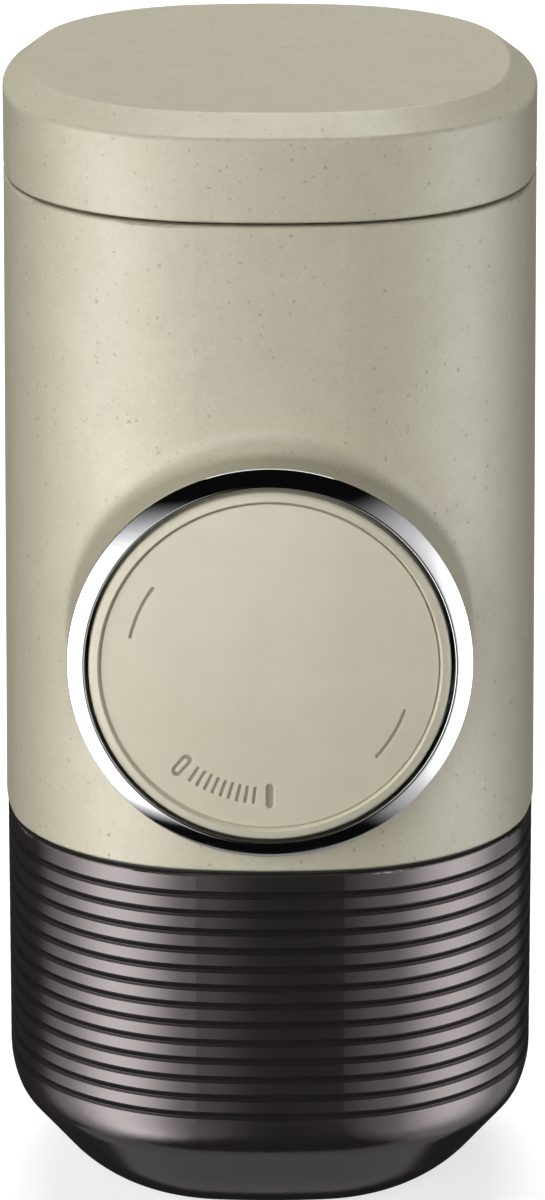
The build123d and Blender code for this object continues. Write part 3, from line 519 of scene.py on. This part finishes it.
# %% Filled plastics
HEAD_BLACK, HEAD_FLECK = (0.018, 0.018, 0.019, 1.0), (0.045, 0.045, 0.046, 1.0)
PUMP_GREY, PUMP_FLECK = (0.055, 0.056, 0.060, 1.0), (0.100, 0.100, 0.105, 1.0)


def filled_plastic(name, dark, light, rough_range, grain_size):
    """Matt technical plastic with a flecked skin, between a darker and a lighter tone."""
    material, tree, shader, place = new_material(name, {"IOR": 1.5})
    cloud = use_group(tree, mottling, {"Place": place, "Scale": 200.0})["Cloud"]
    fleck = use_group(tree, specks, {"Place": place, "Cells": 1500.0, "Share": 0.25, "Size": 0.14})["Mask"]
    grain = use_group(tree, skin, {"Place": place, "Grain": grain_size})["Height"]
    colour = lay_over(tree, dark, cloud, 0.5, light)
    colour = lay_over(tree, colour, fleck, 0.4, light)
    rough = between(tree, grain, *rough_range)
    feed(tree, shader, base_color=colour, roughness=rough, normal=bump(tree, grain, 0.015 * MM))
    return material


finishes["dark_plastic"] = filled_plastic("dark_plastic", HEAD_BLACK, HEAD_FLECK,
                                          rough_range=(0.42, 0.60), grain_size=2200.0)
finishes["pump_plastic"] = filled_plastic("pump_plastic", PUMP_GREY, PUMP_FLECK,
                                          rough_range=(0.38, 0.50), grain_size=3000.0)
print("finishes:", finishes["dark_plastic"].name, "and", finishes["pump_plastic"].name)

# %% [markdown]
# ### Tank plastic
#
# The water tank is smoke-tinted, so that the level shows, and it lets about a third of the light through.
# Clear glass would show every screw behind it, so most of what is seen stays the plastic's own tone.

# %% Tank plastic
TANK_SMOKE = (0.40, 0.41, 0.40, 1.0)
TANK_PALE = (0.45, 0.46, 0.44, 1.0)


def tank_plastic():
    """Smoke-tinted, part clear plastic."""
    material, tree, shader, place = new_material("tank_plastic", {"IOR": 1.49, "Transmission Weight": 0.35})
    cloud = use_group(tree, mottling, {"Place": place, "Scale": 80.0})["Cloud"]
    grain = use_group(tree, skin, {"Place": place, "Grain": 3200.0})["Height"]
    colour = mix_colour(tree, cloud, TANK_SMOKE, TANK_PALE)
    rough = between(tree, grain, 0.26, 0.31)
    feed(tree, shader, base_color=colour, roughness=rough, normal=bump(tree, grain, 0.0012 * MM))
    return material


finishes["tank_plastic"] = tank_plastic()
print("finish:", finishes["tank_plastic"].name)

# %% [markdown]
# ### Rubber and silicone
#
# Seals are black rubber or cream silicone: both matt, with a bloom that is paler where it lies thick. A
# little sheen gives the soft light edge that such seals have, which roughness alone doesn't.

# %% Elastomers
RUBBER_BLACK, RUBBER_BLOOM = (0.012, 0.012, 0.012, 1.0), (0.035, 0.034, 0.033, 1.0)
SILICONE_CREAM, SILICONE_BLOOM = (0.42, 0.40, 0.36, 1.0), (0.55, 0.53, 0.49, 1.0)


def elastomer(name, tone, bloom, rough_range):
    """Soft seal material: a base tone with a pale bloom."""
    fixed = {"IOR": 1.45, "Sheen Weight": 0.15, "Sheen Roughness": 0.5}
    material, tree, shader, place = new_material(name, fixed)
    cloud = use_group(tree, mottling, {"Place": place, "Scale": 260.0})["Cloud"]
    grain = use_group(tree, skin, {"Place": place, "Grain": 3200.0})["Height"]
    colour = lay_over(tree, tone, cloud, 0.6, bloom)
    rough = between(tree, grain, *rough_range)
    feed(tree, shader, base_color=colour, roughness=rough, normal=bump(tree, grain, 0.010 * MM))
    return material


finishes["seal_rubber"] = elastomer("seal_rubber", RUBBER_BLACK, RUBBER_BLOOM, rough_range=(0.55, 0.70))
finishes["silicone"] = elastomer("silicone", SILICONE_CREAM, SILICONE_BLOOM, rough_range=(0.45, 0.60))
print("finishes:", finishes["seal_rubber"].name, "and", finishes["silicone"].name)

# %% [markdown]
# ### Steel
#
# Steel pieces are turned, so their marks run round the axis of the lathe: the pump's axis for the rod and
# its screw, the upright axis for plates, balls and the rest. Springs are drawn wire, whose marks aren't
# flattened along any axis. All are one recipe with another axis, tone and pitch.

# %% Steels
TURNED_STEEL = (0.62, 0.61, 0.60, 1.0)
DRAWN_STEEL = (0.48, 0.47, 0.47, 1.0)
DULL_SHARE = 0.8
ORIGIN = (0, 0, 0)
ACROSS_UPRIGHT = (1, 1, 0)
ALL_WAYS = (1, 1, 1)


def steel(name, across, centre, tone, smoothest, pitch):
    """Machined steel, with tool marks round an axis through a centre."""
    material, tree, shader, place = new_material(name, {"Metallic": 1.0, "Anisotropic": 0.3})
    centred = calculate_vector(tree, "SUBTRACT", place, centre)
    line = use_group(tree, tooling, {"Place": centred, "Across": across, "Pitch": pitch})["Line"]
    cloud = use_group(tree, mottling, {"Place": place, "Scale": 150.0})["Cloud"]
    dull = tuple(channel * DULL_SHARE for channel in tone[:3]) + (1.0,)
    colour = lay_over(tree, tone, cloud, 0.5, dull)
    cut = calculate(tree, "MULTIPLY", line, 0.12)
    rough = calculate(tree, "ADD", smoothest, cut)
    feed(tree, shader, base_color=colour, roughness=rough, normal=bump(tree, line, 0.002 * MM))
    return material


finishes["steel"] = steel("steel", ACROSS_UPRIGHT, ORIGIN, TURNED_STEEL, smoothest=0.22, pitch=6000.0)
finishes["rod_steel"] = steel("rod_steel", ACROSS_PUMP, (0, 0, PUMP_HEIGHT), TURNED_STEEL,
                              smoothest=0.18, pitch=6000.0)
finishes["spring_steel"] = steel("spring_steel", ALL_WAYS, ORIGIN, DRAWN_STEEL,
                                 smoothest=0.26, pitch=4000.0)
print("finishes:", [name for name in finishes if name.endswith("steel")])

# %% [markdown]
# ### One finish for each slot
#
# The frame's record says which material slot each node belongs to, so the finishes go on by name. Two
# steel pieces lie along the pump's axis and get marks round that axis instead, and the button's face gets
# the plastic with painted shade in its marks.

# %% Give every node its finish
OWN_FINISHES = {"piston_rod": "rod_steel", "head_screw": "rod_steel", "button_face": "marked_face"}


def dress(piece, material):
    """Give a mesh one material all over."""
    piece.data.materials.clear()
    piece.data.materials.append(material)


for row in frame["record"]["subparts"]:
    finish_name = OWN_FINISHES.get(row["node"], row["material_slot"])
    dress(nodes[row["node"]], finishes[finish_name])

# %% [markdown]
# ## Bezel ring
#
# The bezel is turned from brass, bevelled towards its rim, and its corners are broken by the polishing
# mop. Those soft corners are what makes a bright thin line run round it, so the CAD ring, whose corners
# are sharp, is replaced by a ring with the same outline. A spin could sweep the profile in one go. Here it
# is made as a turner would go round it: one circle of edges is extruded from corner to corner, so each
# corner is a clean ring of edges.

# %% Turn a ring from its profile
RING_STEPS = 256
MERGE_DISTANCE = 0.001 * MM


def turn_ring(name, middle, corners):
    """Sweep a closed profile of (radius, y) corners round the pump's axis, by extruding a circle."""
    bpy.ops.object.select_all(action="DESELECT")
    first_radius, first_y = corners[0]
    bpy.ops.mesh.primitive_circle_add(vertices=RING_STEPS, radius=first_radius,
                                      location=(0, first_y, middle), rotation=(pi / 2, 0, 0))
    ring = bpy.context.object
    ring.name = name
    bpy.ops.object.transform_apply(location=True, rotation=True, scale=True)
    bpy.ops.object.mode_set(mode="EDIT")
    bpy.ops.mesh.select_all(action="SELECT")
    radius, y = first_radius, first_y
    for next_radius, next_y in [*corners[1:], corners[0]]:
        bpy.ops.mesh.extrude_region_move(TRANSFORM_OT_translate={"value": (0, next_y - y, 0)})
        scale = next_radius / radius
        bpy.ops.transform.resize(value=(scale, 1, scale), center_override=(0, next_y, middle))
        radius, y = next_radius, next_y
    bpy.ops.mesh.select_all(action="SELECT")
    bpy.ops.mesh.remove_doubles(threshold=MERGE_DISTANCE)
    bpy.ops.mesh.normals_make_consistent(inside=False)
    bpy.ops.object.mode_set(mode="OBJECT")
    return ring


# %% [markdown]
# ### Rounded corners
#
# The corners could be cut by hand, but a bevel rounds all of them alike. It takes only the edges that turn
# by more than a given angle, so the ring's many small facets stay as they are. It is applied, so that the
# mesh itself holds the result, and the shading is then smoothed across everything but sharp edges.

# %% Round a piece's corners
SHARP_FROM = 20.0  # degrees: a corner that turns less isn't rounded
SMOOTH_UP_TO = 40.0  # degrees: the shading stays smooth where faces turn less


def soften(piece, radius, segments):
    """Round a piece's sharp edges with an applied bevel and smooth its shading."""
    bpy.ops.object.select_all(action="DESELECT")
    piece.select_set(True)
    bpy.context.view_layer.objects.active = piece
    rounding = piece.modifiers.new("rounding", "BEVEL")
    rounding.width = radius
    rounding.segments = segments
    rounding.limit_method = "ANGLE"
    rounding.angle_limit = radians(SHARP_FROM)
    bpy.ops.object.modifier_apply(modifier=rounding.name)
    bpy.ops.object.shade_smooth_by_angle(angle=radians(SMOOTH_UP_TO))


# %% [markdown]
# ### The ring's profile
#
# The profile starts at the inner corner of the rim and runs outwards down the bevel, under the head of the
# ring, and back along the spigot that plugs into the boss. Its reach comes from the boxes of the CAD ring
# and the button, so it fits where they are, and only its small steps are sizes of its own.

# %% Bezel ring
BUTTON_GAP = 0.42 * MM
BEZEL_RISE = 0.9 * MM  # from the ring's outer edge to its rim
BEZEL_EDGE = 0.25 * MM  # width of the flat rim, and of the band round the outer edge
SPIGOT_STEP = 0.8 * MM  # the ring stands out over its spigot by this much
CORNER_ROUNDING = 0.10 * MM
ring_low, ring_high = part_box("bezel_ring")
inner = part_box("piston_head")[1][0] + BUTTON_GAP
outer = ring_high[0]
spigot = outer - SPIGOT_STEP
rim, plug_end = ring_low[1], ring_high[1]
edge = rim + BEZEL_RISE
seat = edge + BEZEL_EDGE
bezel = turn_ring("bezel", PUMP_HEIGHT, [
    (inner, rim),
    (inner + BEZEL_EDGE, rim),
    (outer, edge),
    (outer, seat),
    (spigot, seat),
    (spigot, plug_end),
    (inner, plug_end),
])
soften(bezel, CORNER_ROUNDING, segments=3)
dress(bezel, finishes["bezel_chrome"])
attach(bezel, "machine")
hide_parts("bezel_ring")
print("bezel:", len(bezel.data.polygons), "faces")

# %% [markdown]
# ## Studio
#
# The floor is one pale sheet, so large that its far edge lies outside the picture. A backdrop that curves
# upwards isn't needed, because the camera looks down on it. It glows by itself, so that it stays evenly
# pale without a lamp of its own. It is hidden from glossy rays: the tall soft boxes then show in the gloss
# at full height, below the floor line too, as on a table of clear acrylic. It is hidden from matt rays as
# well, so that it doesn't light the machine from below.

# %% Floor
FLOOR_SIZE = 9.0
FLOOR_GREY, FLOOR_PALE = (0.49, 0.49, 0.49, 1.0), (0.51, 0.51, 0.51, 1.0)
FLOOR_GLOW = {"Emission Color": (1.0, 1.0, 1.0, 1.0), "Emission Strength": 0.66}


def pale_floor():
    """Matt pale sheet with a glow of its own."""
    material, tree, shader, place = new_material("pale_floor", {"IOR": 1.3, **FLOOR_GLOW})
    cloud = use_group(tree, mottling, {"Place": place, "Scale": 3.0})["Cloud"]
    colour = mix_colour(tree, cloud, FLOOR_GREY, FLOOR_PALE)
    feed(tree, shader, base_color=colour, roughness=between(tree, cloud, 0.85, 0.95))
    return material


bpy.ops.object.select_all(action="DESELECT")
bpy.ops.mesh.primitive_plane_add(size=FLOOR_SIZE, location=(0, 0, 0))
floor = bpy.context.object
floor.name = "floor"
dress(floor, pale_floor())
floor.visible_glossy = False
floor.visible_diffuse = False
print("floor:", FLOOR_SIZE, "m")

# %% [markdown]
# ### Area lamps
#
# Every lamp here is an area light. A bright panel with a material would light the machine too, but it
# leaves more grain in the picture. Each lamp is hidden from the camera, and either from gloss or from matt
# surfaces. It is set by its radiance, which is how bright it looks, so that it looks the same when its
# size changes. Blender asks for its power instead, which is the radiance times its area times pi.

# %% Area lamp
def area_lamp(name, size, radiance):
    """Make an area light of a given size and radiance, hidden from the camera, with nodes for its light."""
    width, height = size
    lamp_data = bpy.data.lights.new(name, "AREA")
    lamp_data.shape = "RECTANGLE"
    lamp_data.size = width
    lamp_data.size_y = height
    lamp_data.energy = radiance * pi * width * height
    lamp_data.use_nodes = True
    tree = lamp_data.node_tree
    tree.nodes.clear()
    glow = new_node(tree, "ShaderNodeEmission", {"Strength": 1.0}, name="glow")
    new_node(tree, "ShaderNodeOutputLight", {"Surface": glow.outputs[0]})
    lamp = bpy.data.objects.new(name, lamp_data)
    bpy.context.scene.collection.objects.link(lamp)
    lamp.visible_camera = False
    return lamp


def aim_at_machine(lamp):
    """Turn a lamp's light towards the origin, with its lower edge level."""
    lamp.rotation_euler = lamp.location.to_track_quat("Z", "Y").to_euler()


def bearing_place(bearing, reach, height=0.0):
    """Give the place at a bearing in degrees, clockwise from the front, seen from above the machine."""
    return Vector((-sin(radians(bearing)) * reach, -cos(radians(bearing)) * reach, height))


# %% [markdown]
# ### Soft boxes
#
# A tall soft box on each side draws the long highlights on the gloss. Its place is given by the two
# bearings that its edges have seen from the machine, because those bearings decide where the edges of its
# reflection fall on a rounded wall: a wall that is turned by an angle mirrors a lamp that stands at twice
# that angle. Each side has a bright core in front of a wider, dimmer sheet, and both fade towards their
# edges, as light behind a diffuser does. A lamp's own Parametric coordinates, from 0 to 1 over its two
# sides, say where on it the light leaves.

# %% Soft boxes
CORE_REACH, SHEET_REACH = 1.10, 1.80
SIDE_FADE = 0.5  # a soft box is brightest in its middle and fades all the way to both sides


def fade_ends(tree, position, low_fade, high_fade):
    """Give 1 along the middle of a lamp's side and 0 at its two ends, with soft steps between."""
    rise = stretch(tree, position, 0.0, low_fade, smooth=True)
    fall = remap(tree, position, 1.0 - high_fade, 1.0, 1.0, 0.0, smooth=True)
    return calculate(tree, "MULTIPLY", rise, fall)


def soft_box(name, bearings, reach, levels, fades, radiance):
    """Stand a gloss-only area light between two bearings and two levels.

    Fades are the shares of its height over which its light dies away, at the bottom and at the top.
    """
    ends = [bearing_place(bearing, reach) for bearing in bearings]
    middle = (ends[0] + ends[1]) / 2
    lamp = area_lamp(name, ((ends[0] - ends[1]).length, levels[1] - levels[0]), radiance)
    lamp.location = middle
    aim_at_machine(lamp)  # before it is raised, so that it stands upright
    lamp.location.z = sum(levels) / 2
    lamp.visible_diffuse = False
    tree = lamp.data.node_tree
    spot = parts_of(tree, new_node(tree, "ShaderNodeNewGeometry").outputs["Parametric"])
    sideways = fade_ends(tree, spot["X"], SIDE_FADE, SIDE_FADE)
    upright = fade_ends(tree, spot["Y"], *fades)
    tree.links.new(calculate(tree, "MULTIPLY", sideways, upright), tree.nodes["glow"].inputs["Strength"])


soft_box("left_core", bearings=(23.0, 94.0), reach=CORE_REACH, levels=(-1.45, 0.55),
         fades=(0.33, 0.41), radiance=2.55)
soft_box("left_sheet", bearings=(2.0, 121.0), reach=SHEET_REACH, levels=(-1.90, 0.80),
         fades=(0.32, 0.25), radiance=1.40)
soft_box("right_core", bearings=(-42.0, -116.0), reach=CORE_REACH, levels=(-1.15, 0.55),
         fades=(0.55, 0.39), radiance=2.40)
soft_box("right_sheet", bearings=(-12.0, -150.0), reach=SHEET_REACH, levels=(-1.45, 0.80),
         fades=(0.45, 0.25), radiance=0.85)
print("soft boxes:", [lamp.name for lamp in bpy.data.lights])

# %% [markdown]
# ### Fill lamps
#
# The soft boxes are for reflections alone. The even light comes from broad lamps that gloss doesn't show:
# one behind the camera, one on each side, a weak one at the back, and one high up behind the lid. That
# last one is so far back that the body shades the top of the round boss from it.

# %% Fill lamps
FILL_SIZE = (0.6, 0.8)
FILL_REACH, FILL_HEIGHT = 1.15, 0.26
FILLS = (  # name, bearing in degrees, radiance
    ("front", 8, 6.1),
    ("left", 60, 5.9),
    ("right", -90, 3.0),
    ("back", 160, 2.2),
)
OVERHEAD_SIZE, OVERHEAD_HEIGHT = (0.9, 0.8), 1.1


def fill_lamp(name, size, place, radiance):
    """Aim a matt-only area light at the machine."""
    lamp = area_lamp(name, size, radiance)
    lamp.location = place
    aim_at_machine(lamp)
    lamp.visible_glossy = False


for fill_name, bearing, radiance in FILLS:
    fill_lamp(fill_name + "_fill", FILL_SIZE, bearing_place(bearing, FILL_REACH, FILL_HEIGHT), radiance)
fill_lamp("top_fill", OVERHEAD_SIZE, (0, 0.68, OVERHEAD_HEIGHT), radiance=6.4)
print("with fills:", len(bpy.data.lights), "lamps")

# %% [markdown]
# ### Glows
#
# Two surfaces lean away from the soft boxes and would mirror only the dim world: the chamfer of the lid
# looks up, and the tapered foot of the cup looks down. Each gets a dim lamp to mirror, for gloss alone.

# %% Glows for the chamfer and the foot
FACING_DOWN, FACING_UP = (0, 0, 0), (pi, 0, 0)


def glow_lamp(name, size, place, rotation, radiance):
    """Place a gloss-only area light that faces straight down or up."""
    lamp = area_lamp(name, size, radiance)
    lamp.location = place
    lamp.rotation_euler = rotation
    lamp.visible_diffuse = False


glow_lamp("lid_glow", OVERHEAD_SIZE, (0, 0.20, OVERHEAD_HEIGHT), FACING_DOWN, radiance=2.2)
glow_lamp("foot_glow", (0.8, 0.36), (0, 0.12, -0.5), FACING_UP, radiance=0.26)
print("with glows:", len(bpy.data.lights), "lamps")

# %% [markdown]
# ### World
#
# The world is pale where the camera looks straight into it, and much dimmer for reflections, which keeps
# dark edges on the gloss. Reflections find it a little brighter behind the machine, so that the outermost
# edges don't go black. The Standard view shows the colours as they are, without a film curve.

# %% World
SKY = (0.97, 0.98, 1.0, 1.0)
BACKDROP = (0.93, 0.93, 0.93, 1.0)
AMBIENT = 0.012
MIRRORED_FRONT, MIRRORED_BACK = 0.003, 0.02
BACK_BEGINS, BACK_IS_FULL = 0.1, 0.9  # how far a ray points backwards, where 1 is straight back
world = bpy.data.worlds.new("studio_world")
bpy.context.scene.world = world
world.use_nodes = True
sky_tree = world.node_tree
sky_tree.nodes.clear()
ray = new_node(sky_tree, "ShaderNodeLightPath").outputs
backward = parts_of(sky_tree, new_node(sky_tree, "ShaderNodeTexCoord").outputs["Generated"])["Y"]
behind = remap(sky_tree, backward, BACK_BEGINS, BACK_IS_FULL, MIRRORED_FRONT, MIRRORED_BACK, smooth=True)
ambient = new_node(sky_tree, "ShaderNodeBackground", {"Color": SKY, "Strength": AMBIENT})
mirrored = new_node(sky_tree, "ShaderNodeBackground", {"Color": SKY, "Strength": behind})
seen = new_node(sky_tree, "ShaderNodeBackground", {"Color": BACKDROP, "Strength": 1.0})
unseen = new_node(sky_tree, "ShaderNodeMixShader",
                  {0: ray["Is Glossy Ray"], 1: ambient.outputs[0], 2: mirrored.outputs[0]})
shown = new_node(sky_tree, "ShaderNodeMixShader",
                 {0: ray["Is Camera Ray"], 1: unseen.outputs[0], 2: seen.outputs[0]})
new_node(sky_tree, "ShaderNodeOutputWorld", {"Surface": shown.outputs[0]})
bpy.context.scene.view_settings.view_transform = "Standard"
print("world:", world.name)

# %% [markdown]
# ## Camera
#
# The camera looks slightly down on the machine through a long lens, from well back. A wide lens close by
# could frame it too, but would make the lid loom and the foot shrink.

# %% Camera
CAMERA_DISTANCE = 0.720
CAMERA_ELEVATION = radians(16.83)
CAMERA_LENS, SENSOR_WIDTH = 202.1, 36.0  # both in millimetres, as the camera counts them
AIM = Vector((0.00026, 0.0, 0.0628))
camera_data = bpy.data.cameras.new("camera")
camera_data.lens = CAMERA_LENS
camera_data.sensor_width = SENSOR_WIDTH
camera = bpy.data.objects.new("camera", camera_data)
bpy.context.scene.collection.objects.link(camera)
backwards = Vector((0, -cos(CAMERA_ELEVATION), sin(CAMERA_ELEVATION)))
camera.location = AIM + backwards * CAMERA_DISTANCE
camera.rotation_euler = backwards.to_track_quat("Z", "Y").to_euler()
bpy.context.scene.camera = camera
print("camera:", tuple(round(v, 4) for v in camera.location))
